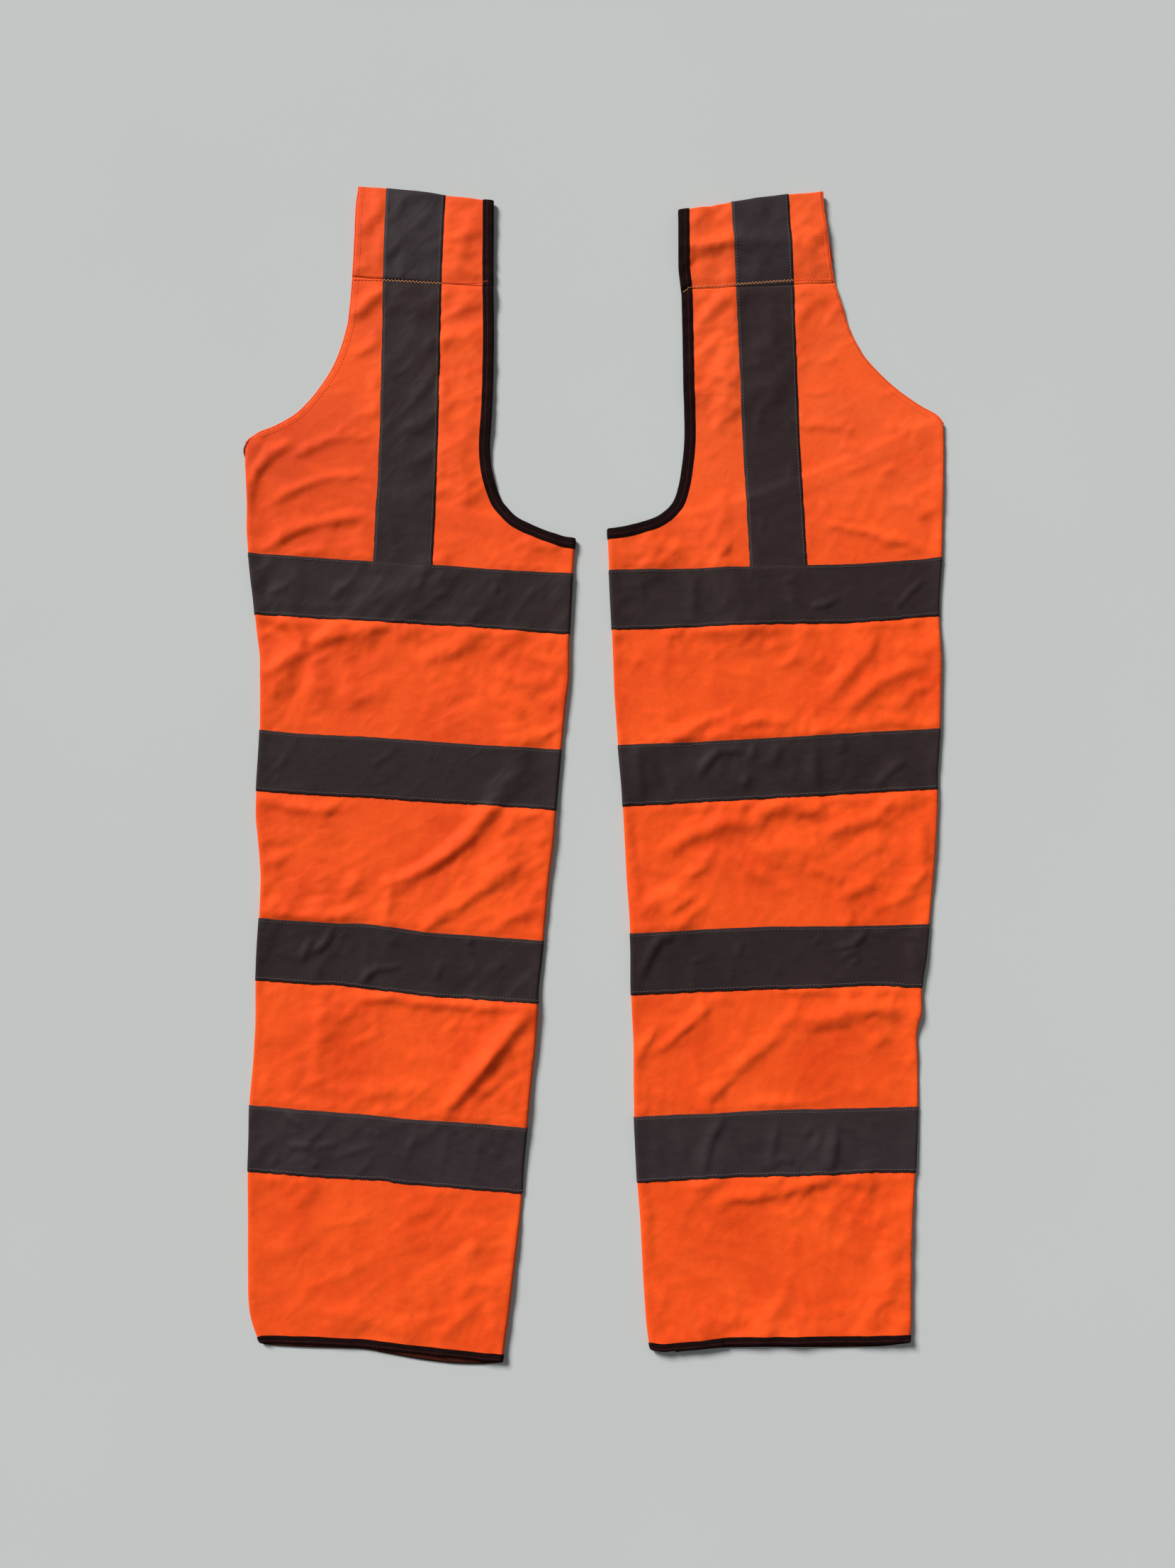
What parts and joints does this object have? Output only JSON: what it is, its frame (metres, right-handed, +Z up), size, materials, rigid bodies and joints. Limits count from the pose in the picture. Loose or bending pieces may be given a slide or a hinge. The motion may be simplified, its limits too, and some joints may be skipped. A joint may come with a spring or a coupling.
{
  "type": "high-visibility chaps",
  "caption": "Pair of high-visibility cloth chaps laid flat, with belt loops, reflective bands and bound edges.",
  "frame": {"origin": "on the floor under the middle of the pair", "axes": "+Z up out of the floor, +Y towards the belt loops, +X to the viewer's right as seen from the front"},
  "size_m": [0.5918, 0.9688, 0.0082],
  "materials": {
    "shell_cloth": "matt woven orange cloth",
    "reflective_tape": "dark grey satin reflective tape",
    "binding": "matt black ribbed binding",
    "tape_thread": "light grey sewing thread",
    "seam_thread": "tan and orange sewing thread"
  },
  "bodies": {
    "left_thigh": {"left_thigh_panel": "shell_cloth", "left_thigh_tape": "reflective_tape", "left_thigh_band_1": "reflective_tape", "left_thigh_band_2": "reflective_tape", "left_crotch_binding": "binding", "left_hip_hem": "shell_cloth", "left_back_binding": "binding", "left_back_hem": "shell_cloth", "left_thigh_back_seam": "shell_cloth", "left_loop_zigzag": "seam_thread", "left_thigh_stitching": "tape_thread"},
    "left_belt_loop": {"left_belt_loop": "shell_cloth", "left_loop_tape": "reflective_tape", "left_loop_binding": "binding", "left_loop_hem": "shell_cloth"},
    "left_shin": {"left_shin_panel": "shell_cloth", "left_shin_band_1": "reflective_tape", "left_shin_band_2": "reflective_tape", "left_ankle_binding": "binding", "left_shin_back_seam": "shell_cloth", "left_shin_stitching": "tape_thread"},
    "right_thigh": {"right_thigh_panel": "shell_cloth", "right_thigh_tape": "reflective_tape", "right_thigh_band_1": "reflective_tape", "right_thigh_band_2": "reflective_tape", "right_crotch_binding": "binding", "right_hip_hem": "shell_cloth", "right_back_binding": "binding", "right_back_hem": "shell_cloth", "right_thigh_back_seam": "shell_cloth", "right_loop_zigzag": "seam_thread", "right_thigh_stitching": "tape_thread"},
    "right_belt_loop": {"right_belt_loop": "shell_cloth", "right_loop_tape": "reflective_tape", "right_loop_binding": "binding", "right_loop_hem": "shell_cloth"},
    "right_shin": {"right_shin_panel": "shell_cloth", "right_shin_band_1": "reflective_tape", "right_shin_band_2": "reflective_tape", "right_ankle_binding": "binding", "right_shin_back_seam": "shell_cloth", "right_shin_stitching": "tape_thread"}
  },
  "joints": [
    {"name": "left_loop_fold", "type": "hinge", "parent": "left_thigh", "child": "left_belt_loop", "pos_m": [-0.14504, 0.40054, 0.0083], "axis": [0.9979, -0.0645, 0], "range_deg": [-90, 175]},
    {"name": "left_knee_fold", "type": "hinge", "parent": "left_thigh", "child": "left_shin", "pos_m": [-0.15416, -0.09691, 0.0083], "axis": [-0.9979, 0.0645, 0], "range_deg": [-100, 175]},
    {"name": "right_loop_fold", "type": "hinge", "parent": "right_thigh", "child": "right_belt_loop", "pos_m": [0.14504, 0.40054, 0.0083], "axis": [0.9979, 0.0645, 0], "range_deg": [-90, 175]},
    {"name": "right_knee_fold", "type": "hinge", "parent": "right_thigh", "child": "right_shin", "pos_m": [0.15416, -0.09691, 0.0083], "axis": [-0.9979, -0.0645, 0], "range_deg": [-100, 175]},
    {"name": "leg_spread", "type": "slide", "parent": "left_thigh", "child": "right_thigh", "axis": [1, 0, 0], "range_m": [-0.02, 0.25]}
  ]
}
